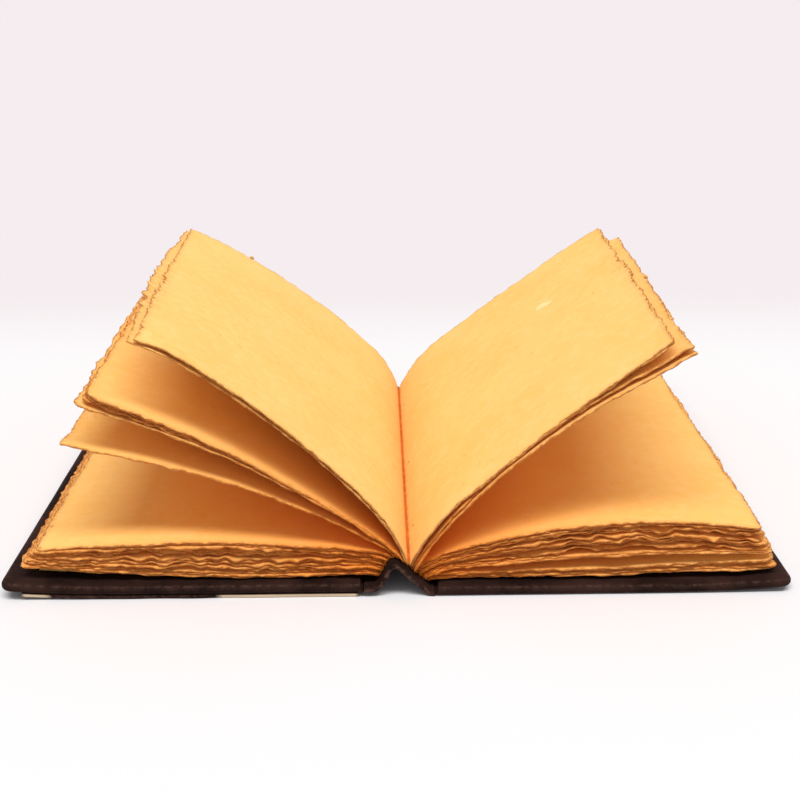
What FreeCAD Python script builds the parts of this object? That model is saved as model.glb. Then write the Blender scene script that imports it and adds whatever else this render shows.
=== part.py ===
import FreeCAD, Part
import math
import os

# A handmade leather-covered journal lying open on its two covers.
# X runs across the open book, +Y towards the head of the pages and +Z up.
# The origin is on the surface below, at the middle of the open book.

V = FreeCAD.Vector
LEFT, RIGHT = -1, 1

# Pages
page_height = 178.0
page_width = 125.0
layer_thickness = 1.0       # limp leaves that cling together
limp_thickness = 0.5        # a leaf or two standing free
deckle_depth = 0.7          # how far the torn edge wanders
long_ripple = 9.0           # of the torn edge, and the short one on it
short_ripple = 3.7
fore_step = 22.0            # spacing of the points along a torn fore-edge
end_step = 60.0             # and along the head and tail
corner_loss = 2.0           # the rag paper is worn away at its corners
sewn_depth = 3.2            # leaves are pressed together this far from the back
start_overlap = 1.0         # a leaf starts this far inside the sewn folds
turn_limit = 26.0           # degrees that a leaf turns down at most, just off the back
creases = 3                 # straight stretches in each bend of a twisted leaf
section_count = 12          # sewn sections of folded sheets
fold_bulge = 0.3            # each section's fold is a little rounded

# Covers
square = 4.5                # how far the covers pass the pages at head and tail
cover_width = 126.0
board_thickness = 1.9
leather_thickness = 0.7
turn_in = 15.0              # leather folded over onto the inside of a board
joint_lap = 5.0             # leather left on the inside of a board beside the joint
edge_bevel = 0.9            # takes the sharpness off the leather's rim
corner_round = 4.0
pastedown_thickness = 0.3
pastedown_margin = 11.0
warp_length = 44.0          # the outer part of a cover curls up a little
warp_angle = 5.0
end_trim = 0.4              # squares off the curled end of a cover
panel_thickness = 1.6       # second layer under the left cover
panel_width = 117.0
panel_setback = 1.5         # from the joint, so that the cover can swing back
panel_inset = 0.4

# Spine
spine_gap = 25.5            # between the two joints
foot_left = 5.85            # flat leather beside each joint
foot_right = 2.1
arch_left = -1.95           # where the slopes of the arch would meet, from the middle
arch_height = 11.75
foot_left_round = 5.0
crest_round = 1.2
foot_right_round = 3.0
block_start = 5.6           # along the arch from the left joint to the first section
block_end = 3.0

# Clearances
hinge_gap = 0.15            # between the rounded end of a cover and the spine leather
glue_gap = 0.1              # text block to the lining of the spine

cover_height = page_height + 2 * square
cover_thickness = board_thickness + 2 * leather_thickness
nose = leather_thickness / 2
joint_x = spine_gap / 2
level = {LEFT: panel_thickness, RIGHT: 0.0}

# The leaves in order over the back, from the left cover to the right one. Angles are
# in degrees above level, seen from the middle. A leaf leaves the back square to it,
# apart from its tuck and no more than the turn limit above its lean, bends to its lean
# within the bend's length and then curves to its tip angle. Pairs give the lowest and
# highest leaf of a left bundle, or the other way round on the right. The twist is how
# much lower a lifted bundle lies at the head, skew is how much wider its leaves are
# there, and back is its share of the back.
bundles = [
    dict(side=LEFT, leaves=9, back=10.2, lean=(-1.8, 6.5), tip=(5.5, -6), bend=(5, 9)),
    dict(side=LEFT, leaves=1, back=0.8, lean=(31, 31), tip=(8.5, 8.5), bend=(7, 7),
         short=3.5, loose=True),
    dict(side=LEFT, leaves=3, back=3.8, lean=(36.5, 39), tip=(18, 22), bend=(9.5, 6), short=1,
         skew=5),
    dict(side=LEFT, leaves=2, back=1.8, lean=(48, 49), tip=(30, 30.5), bend=(25, 26),
         twist=4.5, skew=4.5, loose=True),
    dict(side=RIGHT, leaves=2, back=1.4, lean=(42.5, 42), tip=(37.5, 36.5), bend=(32, 32),
         tuck=20, twist=3.5, short=4.5, skew=7, loose=True),
    dict(side=RIGHT, leaves=2, back=1.4, lean=(49.5, 49), tip=(25.5, 24.5), bend=(26, 26),
         tuck=14, twist=4, short=1.5, skew=5, loose=True),
    dict(side=RIGHT, leaves=8, back=4.0, lean=(16.5, 7), tip=(-9, -2), bend=(17, 9),
         skew=2.5),
    dict(side=RIGHT, leaves=4, back=2.3, lean=(0.8, 0), tip=(3, 2.5), bend=(8, 5)),
]


def heading(side, angle):
    turn = math.radians(angle)
    return V(side * math.cos(turn), 0, math.sin(turn))


def upright(side, angle):
    turn = math.radians(angle)
    return V(-side * math.sin(turn), 0, math.cos(turn))


def travel(start, side, angle, end_angle, length):
    """Where a line of constant curvature comes to."""
    a, b = math.radians(angle), math.radians(end_angle)
    if abs(b - a) < 1e-6:
        return start + heading(side, angle) * length
    radius = length / (b - a)
    return start + V(side * radius * (math.sin(b) - math.sin(a)), 0,
                     -radius * (math.cos(b) - math.cos(a)))


def stretch(side, start, leg, height):
    """One edge of a strip: the leg's line or arc, moved up square to itself."""
    angle, end_angle, length = leg
    middle_angle = (angle + end_angle) / 2
    middle = travel(start, side, angle, middle_angle, length / 2)
    end = travel(start, side, angle, end_angle, length)
    a = start + upright(side, angle) * height
    b = middle + upright(side, middle_angle) * height
    c = end + upright(side, end_angle) * height
    if abs(end_angle - angle) < 1e-6:
        return Part.LineSegment(a, c).toShape()
    return Part.Arc(a, b, c).toShape()


def ribbon(side, start, legs, low, high, y):
    """Closed outline of a strip seen from its end, at the height range of its line."""
    lower, upper = [], []
    place = start + V(0, y, 0)
    for leg in legs:
        lower.append(stretch(side, place, leg, low))
        upper.append(stretch(side, place, leg, high))
        place = travel(place, side, *leg)
    first = Part.LineSegment(lower[0].firstVertex().Point, upper[0].firstVertex().Point)
    last = Part.LineSegment(lower[-1].lastVertex().Point, upper[-1].lastVertex().Point)
    return Part.Wire(Part.__sortEdges__(lower + [last.toShape()] + upper + [first.toShape()]))


def creased_ribbon(side, start, legs, low, high, y):
    """The same outline in short straight stretches, for a leaf that twists as well."""
    lower, upper = [], []
    place = start + V(0, y, 0)
    for angle, end_angle, length in legs:
        turn = (end_angle - angle) / creases
        for count in range(creases):
            lower.append(place + upright(side, angle) * low)
            upper.append(place + upright(side, angle) * high)
            place = travel(place, side, angle, angle + turn, length / creases)
            angle += turn
    lower.append(place + upright(side, angle) * low)
    upper.append(place + upright(side, angle) * high)
    return Part.makePolygon(lower + upper[::-1] + lower[:1])


def drawn_out(wire, length):
    return Part.Face(wire).extrude(V(0, length, 0))


# Spine

def spine_corners(rise):
    """Corners and radii of the arch, at a distance above the leather's outer face."""
    corners = [V(-joint_x + nose + hinge_gap, 0, level[LEFT]),
               V(-joint_x + foot_left, 0, level[LEFT]),
               V(arch_left, 0, arch_height),
               V(joint_x - foot_right, 0, level[RIGHT]),
               V(joint_x - nose - hinge_gap, 0, level[RIGHT])]
    radii = [foot_left_round, crest_round, foot_right_round]
    ways = [(b - a).normalize() for a, b in zip(corners, corners[1:])]
    moved = [corners[0] + V(0, 0, rise)]
    grown = []
    for corner, radius, way, next_way in zip(corners[1:-1], radii, ways, ways[1:]):
        square_a, square_b = V(-way.z, 0, way.x), V(-next_way.z, 0, next_way.x)
        between = (square_a + square_b).normalize()
        moved.append(corner + between * (rise / between.dot(square_a)))
        turns_up = way.x * next_way.z - way.z * next_way.x > 0
        grown.append(radius - rise if turns_up else radius + rise)
    return moved + [corners[-1] + V(0, 0, rise)], grown


def rounded(corners, radii):
    edges = []
    place = corners[0]
    for before, corner, after, radius in zip(corners, corners[1:], corners[2:], radii):
        back, ahead = (before - corner).normalize(), (after - corner).normalize()
        half = back.getAngle(ahead) / 2
        middle = (back + ahead).normalize()
        centre = corner + middle * (radius / math.sin(half))
        start = corner + back * (radius / math.tan(half))
        end = corner + ahead * (radius / math.tan(half))
        edges.append(Part.LineSegment(place, start).toShape())
        edges.append(Part.Arc(start, centre - middle * radius, end).toShape())
        place = end
    return edges + [Part.LineSegment(place, corners[-1]).toShape()]


def arch_edges(rise):
    return rounded(*spine_corners(rise))


def arch_layer(low, high, y, length):
    lower, upper = arch_edges(low), arch_edges(high)
    first = Part.LineSegment(lower[0].firstVertex().Point, upper[0].firstVertex().Point)
    last = Part.LineSegment(lower[-1].lastVertex().Point, upper[-1].lastVertex().Point)
    wire = Part.Wire(Part.__sortEdges__(lower + [last.toShape()] + upper + [first.toShape()]))
    wire.translate(V(0, y, 0))
    return drawn_out(wire, length)


def spine_leather():
    """A limp strip over the full height, turned in and doubled at head and tail."""
    strip = arch_layer(0, leather_thickness, -cover_height / 2, cover_height)
    for y in (-cover_height / 2, cover_height / 2 - turn_in):
        strip = strip.fuse(arch_layer(leather_thickness, 2 * leather_thickness, y, turn_in))
    return strip.removeSplitter()


def spine_lining():
    """Lies between the turn-ins and is as thick as they are."""
    length = cover_height - 2 * turn_in
    return arch_layer(leather_thickness, 2 * leather_thickness, -length / 2, length)


# Text block

def back_line():
    return arch_edges(2 * leather_thickness + glue_gap + fold_bulge)


def on_back(distance):
    """Point on the back and the direction square to it, by the distance along it."""
    left = distance
    edges = back_line()
    for edge in edges:
        if left <= edge.Length or edge is edges[-1]:
            turn = edge.getParameterByLength(min(left, edge.Length))
            way = edge.tangentAt(turn)
            return edge.valueAt(turn), V(-way.z, 0, way.x)
        left -= edge.Length


def back_length():
    return sum(edge.Length for edge in back_line()) - block_start - block_end


def leaf_lines():
    """Every leaf's own bundle, root, legs at the tail and legs at the head."""
    scale = back_length() / sum(bundle["back"] for bundle in bundles)
    place = block_start
    for bundle in bundles:
        pitch = bundle["back"] * scale / bundle["leaves"]
        for count in range(bundle["leaves"]):
            root, square_to = on_back(place + (count + 0.5) * pitch)
            share = count / max(bundle["leaves"] - 1, 1)
            rise = math.degrees(math.atan2(square_to.z, bundle["side"] * square_to.x))
            rise += bundle.get("tuck", 0)
            yield bundle, root, leaf_legs(bundle, share, rise, 0), \
                leaf_legs(bundle, share, rise, bundle.get("twist", 0))
        place += bundle["leaves"] * pitch


def leaf_legs(bundle, share, rise, lowered):
    def between(name):
        first, last = bundle[name]
        return first + (last - first) * share
    rise = min(rise, between("lean") + turn_limit)
    lean, tip, bend = between("lean") - lowered, between("tip") - lowered, between("bend")
    page = page_width - bundle.get("short", 0) - bend
    reach = page + bundle.get("skew", 0)
    return [(rise, lean, bend), (lean, lean + (tip - lean) * reach / page, reach)]


def shortened(start, side, legs, distance):
    """The same line, begun further along it."""
    (angle, lean, bend), page = legs
    reached = angle + (lean - angle) * distance / bend
    return travel(start, side, angle, reached, distance), [(reached, lean, bend - distance), page]


def wander(seed, distance):
    """The torn edge of one leaf, as a sum of a long and a short wave."""
    long_wave = math.sin(distance / long_ripple + seed * 2.4)
    short_wave = math.sin(distance / short_ripple + seed * 4.1)
    return deckle_depth * (0.6 * long_wave + 0.4 * short_wave)


def edge_stops(first, last, step):
    count = max(int(abs(last - first) / step), 2)
    return [first + (last - first) * stop / count for stop in range(count + 1)]


def torn_outline(seed, width, skew):
    """Outline of a leaf laid flat: distance from the back and height on the page."""
    half = page_height / 2
    widest = width + skew
    tail = [(x, -half + wander(seed, x)) for x in edge_stops(0, width - corner_loss, end_step)]
    fore = [(width + skew * (y + half) / page_height + wander(seed + 5, y), y)
            for y in edge_stops(corner_loss - half, half - corner_loss, fore_step)]
    head = [(x, half + wander(seed + 9, x)) for x in edge_stops(widest - corner_loss, 0, end_step)]
    return tail + fore + head


def torn_prism(seed, side, root, legs, skew):
    """Cuts a leaf to its torn outline, square to the leaf."""
    end = root
    for leg in legs:
        end = travel(end, side, *leg)
    along = end - root
    width = along.Length - skew
    along.normalize()
    across = V(-along.z, 0, along.x)
    points = [root + along * x + V(0, y, 0) for x, y in torn_outline(seed, width, skew)]
    face = Part.Face(Part.makePolygon(points + points[:1]))
    depth = page_width / 2
    face.translate(across * -depth)
    return face.extrude(across * (2 * depth))


def leaf(seed, bundle, root, tail_legs, head_legs):
    side = bundle["side"]
    thick = limp_thickness if bundle.get("loose") else layer_thickness
    inside = sewn_depth - start_overlap
    start, tail = shortened(root, side, tail_legs, inside)
    start, head = shortened(root, side, head_legs, inside)
    reach = page_height / 2 + 2 * deckle_depth
    if tail_legs == head_legs:
        strip = drawn_out(ribbon(side, start, tail, -thick / 2, thick / 2, -reach), 2 * reach)
    else:
        wires = [creased_ribbon(side, start, legs, -thick / 2, thick / 2, y)
                 for legs, y in ((tail, -reach), (head, reach))]
        strip = Part.makeLoft(wires, True, True)
    middle = [tuple((a + b) / 2 for a, b in zip(*pair)) for pair in zip(tail_legs, head_legs)]
    return strip.common(torn_prism(seed, side, root, middle, bundle.get("skew", 0)))


def sewn_folds(lines):
    """The pressed folds along the back, with one rounded fold to a section."""
    back = []
    pitch = back_length() / section_count
    for count in range(section_count):
        place = block_start + count * pitch
        (a, _), (b, square_to), (c, _) = [on_back(place + pitch * part) for part in (0, 0.5, 1)]
        back.append(Part.Arc(a, b - square_to * fold_bulge, c).toShape())
    front = [back[0].firstVertex().Point]
    for bundle, root, legs, _ in lines:
        front.append(shortened(root, bundle["side"], legs, sewn_depth)[0])
    front.append(back[-1].lastVertex().Point)
    wire = Part.Wire(Part.__sortEdges__(back + Part.makePolygon(front).Edges))
    wire.translate(V(0, -page_height / 2, 0))
    return drawn_out(wire, page_height)


def text_block():
    lines = list(leaf_lines())
    leaves = [leaf(seed, *line) for seed, line in enumerate(lines)]
    return sewn_folds(lines).multiFuse(leaves)


# Covers

def cover_strip(side, first, last, low, high, half_height):
    """A layer of a cover between two distances from its joint; its outer part curls."""
    flat = cover_width - warp_length
    bend_rate = warp_angle / warp_length
    legs = [(0, 0, min(last, flat) - first)]
    if last > flat:
        legs.append((0, bend_rate * (last - flat), last - flat))
    start = V(side * (joint_x + first), 0, level[side])
    wire = ribbon(side, start, legs, low, high, -half_height)
    return drawn_out(wire, 2 * half_height)


def cover_outline(side, first, last, half_height, radius):
    """Upright prism with the two outer corners of a cover rounded."""
    a, b = side * (joint_x + first), side * (joint_x + last)
    reach = warp_length
    box = Part.makeBox(abs(b - a), 2 * half_height, 2 * reach, V(min(a, b), -half_height, -reach))
    corners = [edge for edge in box.Edges if abs(edge.Vertexes[0].X - b) < 1e-6
               and abs(edge.Vertexes[1].X - b) < 1e-6 and edge.BoundBox.ZLength > reach]
    return box.makeFillet(radius, corners)


def board(side):
    inset = leather_thickness
    half = cover_height / 2 - inset
    first, last = nose + hinge_gap + inset, cover_width - inset
    plate = cover_strip(side, first, last, inset, inset + board_thickness, half)
    return plate.common(cover_outline(side, first, last - end_trim, half, corner_round - inset))


def cover_leather(side):
    """Wraps the board and is turned in all round; its rounded end is the joint."""
    half = cover_height / 2
    inner = nose + hinge_gap
    skin = cover_strip(side, inner, cover_width, 0, cover_thickness, half)
    skin = skin.common(cover_outline(side, inner, cover_width - end_trim, half, corner_round))
    skin = skin.makeChamfer(edge_bevel, [edge for edge in skin.Edges if on_rim(edge)])
    skin = skin.cut(board(side))
    reach = cover_width - turn_in
    window = cover_strip(side, inner + joint_lap, reach, cover_thickness - leather_thickness,
                         cover_thickness + leather_thickness, half - turn_in)
    tongue = cover_strip(side, 0, inner + edge_bevel, 0, leather_thickness, half)
    pivot = V(side * joint_x, -half, level[side] + nose)
    end = Part.makeCylinder(nose, cover_height, pivot, V(0, 1, 0))
    return skin.cut(window).fuse([tongue, end]).removeSplitter()


def on_rim(edge):
    """True for the top and bottom edges along the head, tail and fore-edge."""
    box = edge.BoundBox
    furthest = max(abs(box.XMin), abs(box.XMax))
    crosses = box.XLength < 0.01 and furthest < joint_x + cover_width - corner_round
    stands = box.ZLength > cover_thickness / 2 and box.YLength < 0.01 and box.XLength < 1
    return not crosses and not stands


def pastedown(side):
    """Paper glued inside the cover, over the turn-ins and down onto the board."""
    top = cover_thickness
    inner = nose + hinge_gap
    paper = pastedown_thickness
    half = cover_height / 2
    sheet = cover_strip(side, inner + edge_bevel, cover_width - pastedown_margin, top,
                        top + paper, half - pastedown_margin)
    first, last = inner + joint_lap, cover_width - turn_in
    dip = cover_strip(side, first, last, top - leather_thickness, top + paper, half - turn_in)
    hollow = cover_strip(side, first + paper, last - paper, top - leather_thickness + paper,
                         top + paper, half - turn_in - paper)
    return sheet.fuse(dip).cut(hollow).removeSplitter()


def outer_panel():
    half = cover_height / 2 - panel_inset
    return cover_strip(LEFT, panel_setback, panel_setback + panel_width, -panel_thickness, 0, half)


parts = {
    "text_block": text_block(),
    "spine_leather": spine_leather(),
    "spine_lining": spine_lining(),
    "left_board": board(LEFT),
    "left_cover_leather": cover_leather(LEFT),
    "left_pastedown": pastedown(LEFT),
    "left_outer_panel": outer_panel(),
    "right_board": board(RIGHT),
    "right_cover_leather": cover_leather(RIGHT),
    "right_pastedown": pastedown(RIGHT),
}

os.makedirs("parts", exist_ok=True)
for name, shape in parts.items():
    shape.exportStep("parts/" + name + ".step")
    print(name, len(shape.Solids), shape.isValid(), round(shape.Volume))
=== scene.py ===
import math
import random

import bpy
import numpy as np
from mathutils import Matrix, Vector
from mathutils.geometry import delaunay_2d_cdt


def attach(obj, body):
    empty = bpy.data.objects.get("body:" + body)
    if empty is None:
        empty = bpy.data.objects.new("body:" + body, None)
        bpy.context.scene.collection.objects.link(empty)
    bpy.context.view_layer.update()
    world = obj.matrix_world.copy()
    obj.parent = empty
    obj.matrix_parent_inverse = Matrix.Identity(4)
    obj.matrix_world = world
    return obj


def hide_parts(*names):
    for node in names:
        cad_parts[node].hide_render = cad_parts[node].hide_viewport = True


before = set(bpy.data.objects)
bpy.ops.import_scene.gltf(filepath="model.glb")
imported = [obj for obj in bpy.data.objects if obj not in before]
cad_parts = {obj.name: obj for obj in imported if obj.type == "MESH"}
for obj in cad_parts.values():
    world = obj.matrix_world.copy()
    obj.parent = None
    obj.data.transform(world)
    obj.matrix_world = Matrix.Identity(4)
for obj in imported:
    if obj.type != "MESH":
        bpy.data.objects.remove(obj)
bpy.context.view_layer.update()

# Shapes are worked out in millimetres, as in the part's source, and become metres
# when a mesh is made. X runs across the book, Y from tail to head and Z is up.
metre = 0.001
left, right = -1, 1


def swell(seed, a, b, size):
    # smooth random waves over a surface, about -1 to 1, with that typical length: five
    # sines in random directions
    rng = random.Random(seed * 7919 + 13)
    total = np.zeros(np.broadcast(a, b).shape)
    for _ in range(5):
        turn = rng.uniform(0, 2 * math.pi)
        length = size * rng.uniform(0.65, 1.6)
        phase = rng.uniform(0, 2 * math.pi)
        total += np.sin((a * math.cos(turn) + b * math.sin(turn)) * 2 * math.pi / length + phase)
    return total / 2.6


def smooth(value, low, high):
    share = np.clip((value - low) / (high - low), 0, 1)
    return share * share * (3 - 2 * share)


def makeMesh(name, points, faces, attributes, material):
    mesh = bpy.data.meshes.new(name)
    mesh.from_pydata([tuple(p) for p in np.asarray(points) * metre], [], faces)
    for label, values in attributes.items():
        kind = "FLOAT_VECTOR" if np.ndim(values) == 2 else "FLOAT"
        layer = mesh.attributes.new(label, kind, "POINT")
        layer.data.foreach_set("vector" if kind == "FLOAT_VECTOR" else "value",
                               np.asarray(values, np.float32).ravel())
    mesh.validate()
    mesh.shade_smooth()
    piece = bpy.data.objects.new(name, mesh)
    bpy.context.scene.collection.objects.link(piece)
    mesh.materials.append(material)
    return piece


def linear(code):
    # sRGB hex to the linear colour that Blender's sockets take
    channels = [int(code[i:i + 2], 16) / 255 for i in (0, 2, 4)]
    return [c / 12.92 if c <= 0.04045 else ((c + 0.055) / 1.055) ** 2.4 for c in channels] + [1]


def node(tree, kind, settings=None, links=None):
    made = tree.nodes.new(kind)
    for key, value in (settings or {}).items():
        if isinstance(key, str) and hasattr(made, key):
            setattr(made, key, value)
        else:
            made.inputs[key].default_value = value
    for key, socket in (links or {}).items():
        tree.links.new(socket, made.inputs[key])
    return made


def emptyMaterial(name):
    material = bpy.data.materials.new(name)
    material.use_nodes = True
    tree = material.node_tree
    tree.nodes.clear()
    return material, tree


paperLook = {
    "sheet": "FCCB77",       # dyed with turmeric and tea: warm amber
    "pale": "FFD892",        # where the dye took less
    "deep": "F7BF62",        # and more
    "fold": "F08A24",        # painted shade, deeper orange towards the folds
    "rim": "A44A0A",         # dye gathered in the thin torn edges, darkened further as painted shade between the leaves
    "fleck": "FFE2A6",
    "fibre": "DFA044",
    # dark spots painted for sewing holes: painted shade inside the holes
    "holeShade": "7A3C08",
}


# Noises of the paper: size in millimetres, detail, roughness, distortion, and the range
# that is taken from each with what it becomes.
paperNoise = {
    "deep": (30, 2, 0.5, 0, 0.35, 0.7, 0, 0.5),
    "pale": (4, 3, 0.5, 0, 0.45, 0.7, 0, 0.35),
    "fibrePatch": (5, 1, 0.5, 0, 0.55, 0.64, 0, 1),
    "fleckPatch": (3, 1, 0.5, 0, 0.56, 0.64, 0, 1),
    "rim": (1.8, 2, 0.5, 0, 0.4, 0.58, 0.4, 1),
    "tear": (2.5, 2, 0.5, 0, 0, 1, 0, 1),
    "felt": (1.1, 4, 0.7, 0, 0, 1, 0, 1),      # the real 0.3 mm, drawn coarser so that it shows
    "cockle": (5, 2, 0.5, 0, 0, 1, 0, 1),
}
# Long curly fibres lie along the contour lines of a noise: its size, how far from the
# contour a fibre reaches, and how strong it is.
paperStrands = {"fibre": (9, 0.010, 0.55), "fleck": (6, 0.012, 0.4)}


def ragPaper(name, onLeaves):
    # Handmade cotton rag paper, couched on felt and air dried, unsized: fully matt,
    # cloudy dye, long stray fibres, a felt texture and darker pulpy torn edges. The torn
    # edges' darkness is partly dye and partly painted shade between the leaves; on the
    # leaves the paper also carries painted shade that deepens towards the folds.
    material, tree = emptyMaterial(name)
    if onLeaves:
        place = node(tree, "ShaderNodeAttribute", {"attribute_name": "leafPlace"}).outputs["Vector"]
        rim = node(tree, "ShaderNodeAttribute", {"attribute_name": "rim"}).outputs["Fac"]
        fold = node(tree, "ShaderNodeAttribute", {"attribute_name": "fold"}).outputs["Fac"]
    else:
        place = node(tree, "ShaderNodeTexCoord").outputs["Object"]
    share = {}
    for label, (size, detail, rough, distortion, low, high, outLow, outHigh) in paperNoise.items():
        noise = node(tree, "ShaderNodeTexNoise", {"Scale": 1 / (size * metre), "Detail": detail,
                     "Roughness": rough, "Distortion": distortion}, {"Vector": place})
        share[label] = node(tree, "ShaderNodeMapRange", {"From Min": low, "From Max": high,
                            "To Min": outLow, "To Max": outHigh},
                            {"Value": noise.outputs["Fac"]}).outputs["Result"]
    for label, (size, reach, strength) in paperStrands.items():
        noise = node(tree, "ShaderNodeTexNoise", {"Scale": 1 / (size * metre), "Detail": 1.5,
                     "Roughness": 0.4, "Distortion": 0.8}, {"Vector": place})
        away = node(tree, "ShaderNodeMath", {"operation": "SUBTRACT", 1: 0.5},
                    {0: noise.outputs["Fac"]})
        away = node(tree, "ShaderNodeMath", {"operation": "ABSOLUTE"}, {0: away.outputs[0]})
        line = node(tree, "ShaderNodeMapRange", {"From Min": 0, "From Max": reach,
                    "To Min": strength, "To Max": 0}, {"Value": away.outputs[0]})
        share[label] = node(tree, "ShaderNodeMath", {"operation": "MULTIPLY"},
                            {0: line.outputs["Result"], 1: share[label + "Patch"]}).outputs[0]
    layers = [("deep", share["deep"]), ("pale", share["pale"]), ("fibre", share["fibre"]),
              ("fleck", share["fleck"])]
    if onLeaves:
        # painted shade: deeper orange towards the folds, and on leaves that lie between others
        layers.append(("fold", fold))
        for spot, size, ragged, kind in marks:
            away = node(tree, "ShaderNodeVectorMath", {"operation": "DISTANCE", 1: spot}, {0: place})
            torn = node(tree, "ShaderNodeMath", {"operation": "MULTIPLY_ADD", 1: -ragged * metre},
                        {0: share["tear"], 2: away.outputs["Value"]})
            inside = node(tree, "ShaderNodeMapRange", {"From Min": (size * 0.6 - ragged / 2) * metre,
                          "From Max": (size - ragged / 2) * metre, "To Min": 0.8, "To Max": 0},
                          {"Value": torn.outputs[0]})
            layers.append((kind, inside.outputs["Result"]))
        # torn edges darker: gathered dye, and painted shade between the leaves
        uneven = node(tree, "ShaderNodeMath", {"operation": "MULTIPLY"}, {0: rim, 1: share["rim"]})
        layers.append(("rim", uneven.outputs[0]))
    colour = None
    for kind, much in layers:
        mixer = node(tree, "ShaderNodeMix", {"data_type": "RGBA", 6: linear(paperLook["sheet"]),
                     7: linear(paperLook[kind])}, {0: much})
        if colour:
            tree.links.new(colour, mixer.inputs[6])
        colour = mixer.outputs[2]
    height = node(tree, "ShaderNodeMath", {"operation": "MULTIPLY_ADD", 1: 1.6},
                  {0: share["cockle"], 2: share["felt"]})
    height = node(tree, "ShaderNodeMath", {"operation": "ADD"}, {0: height.outputs[0], 1: share["fibre"]})
    bump = node(tree, "ShaderNodeBump", {"Strength": 0.45, "Distance": 0.1 * metre},
                {"Height": height.outputs[0]})
    shader = node(tree, "ShaderNodeBsdfPrincipled", {"Roughness": 0.93, "IOR": 1.45,
                  "Specular IOR Level": 0.15, "Sheen Weight": 0.05},
                  {"Base Color": colour, "Normal": bump.outputs[0]})
    node(tree, "ShaderNodeOutputMaterial", links={"Surface": shader.outputs[0]})
    return material


leatherLook = {
    "hide": "34211C",        # dark chestnut, nearly black in the grain
    "grain": "1C100D",
    "worn": "5C4239",        # rubbed lighter on the arrises, with a painted highlight along the top arris
    "bare": "D8C0A2",        # the cream flesh side, where an edge is left raw
}


def coverHide(name, edges=None, raw=None):
    # Vegetable-tanned goat, dyed through and waxed: fine pebbled grain with a soft
    # sheen, rubbed lighter along its arrises; on the covers the light line along the top
    # arris is partly rubbing and partly a painted highlight. Goat grain is 0.5 mm, drawn at 0.9.
    material, tree = emptyMaterial(name)
    place = node(tree, "ShaderNodeTexCoord").outputs["Object"]
    pebbles = node(tree, "ShaderNodeTexVoronoi", {"Scale": 1 / (0.9 * metre), "feature": "SMOOTH_F1"},
                   {"Vector": place}).outputs["Distance"]
    cloud = node(tree, "ShaderNodeTexNoise", {"Scale": 1 / (14 * metre), "Detail": 4.0},
                 {"Vector": place}).outputs["Fac"]
    scuff = node(tree, "ShaderNodeTexNoise", {"Scale": 1 / (2.5 * metre), "Detail": 5.0,
                 "Roughness": 0.7}, {"Vector": place}).outputs["Fac"]
    base = node(tree, "ShaderNodeMix", {"data_type": "RGBA", 6: linear(leatherLook["hide"]),
                7: linear(leatherLook["grain"])})
    share = node(tree, "ShaderNodeMapRange", {"From Min": 0.35, "From Max": 0.65}, {"Value": cloud})
    tree.links.new(share.outputs[0], base.inputs[0])
    colour = base.outputs[2]
    if edges:
        # arris: real rubbing, and on the covers a painted highlight along the top arris
        worn = node(tree, "ShaderNodeAttribute", {"attribute_name": edges}).outputs["Fac"]
        rubbed = node(tree, "ShaderNodeMapRange", {"From Min": 0.42, "From Max": 0.62}, {"Value": scuff})
        much = node(tree, "ShaderNodeMath", {"operation": "MULTIPLY"}, {0: worn, 1: rubbed.outputs[0]})
        edge = node(tree, "ShaderNodeMix", {"data_type": "RGBA", 7: linear(leatherLook["worn"])})
        tree.links.new(much.outputs[0], edge.inputs[0])
        tree.links.new(colour, edge.inputs[6])
        colour = edge.outputs[2]
    if raw:
        shown = node(tree, "ShaderNodeAttribute", {"attribute_name": raw}).outputs["Fac"]
        edge = node(tree, "ShaderNodeMix", {"data_type": "RGBA", 7: linear(leatherLook["bare"])})
        tree.links.new(shown, edge.inputs[0])
        tree.links.new(colour, edge.inputs[6])
        colour = edge.outputs[2]
    height = node(tree, "ShaderNodeMath", {"operation": "MULTIPLY_ADD", 1: 0.8}, {0: scuff, 2: pebbles})
    bump = node(tree, "ShaderNodeBump", {"Strength": 0.35, "Distance": 0.12 * metre},
                {"Height": height.outputs[0]})
    rough = node(tree, "ShaderNodeMapRange", {"To Min": 0.62, "To Max": 0.85}, {"Value": scuff})
    shader = node(tree, "ShaderNodeBsdfPrincipled", {"IOR": 1.5, "Specular IOR Level": 0.05},
                  {"Base Color": colour, "Roughness": rough.outputs[0], "Normal": bump.outputs[0]})
    node(tree, "ShaderNodeOutputMaterial", links={"Surface": shader.outputs[0]})
    return material


def liningCloth(name):
    # Black cotton super glued over the spine: plain weave, matt. Its threads are 0.6 mm
    # apart and are drawn about twice as coarse, so that they show.
    spacing = 1.184
    material, tree = emptyMaterial(name)
    place = node(tree, "ShaderNodeTexCoord").outputs["Object"]
    waves = [node(tree, "ShaderNodeTexWave", {"Scale": math.pi / 10 / (spacing * metre),
                  "bands_direction": way},
                  {"Vector": place}).outputs["Fac"] for way in ("X", "Y")]
    weave = node(tree, "ShaderNodeMath", {"operation": "MAXIMUM"}, {0: waves[0], 1: waves[1]})
    colour = node(tree, "ShaderNodeMix", {"data_type": "RGBA", 6: linear("0D0A09"), 7: linear("211916")},
                  {0: weave.outputs[0]})
    bump = node(tree, "ShaderNodeBump", {"Strength": 0.5, "Distance": 0.1 * metre},
                {"Height": weave.outputs[0]})
    shader = node(tree, "ShaderNodeBsdfPrincipled", {"Roughness": 0.9},
                  {"Base Color": colour.outputs[2], "Normal": bump.outputs[0]})
    node(tree, "ShaderNodeOutputMaterial", links={"Surface": shader.outputs[0]})
    return material


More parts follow.
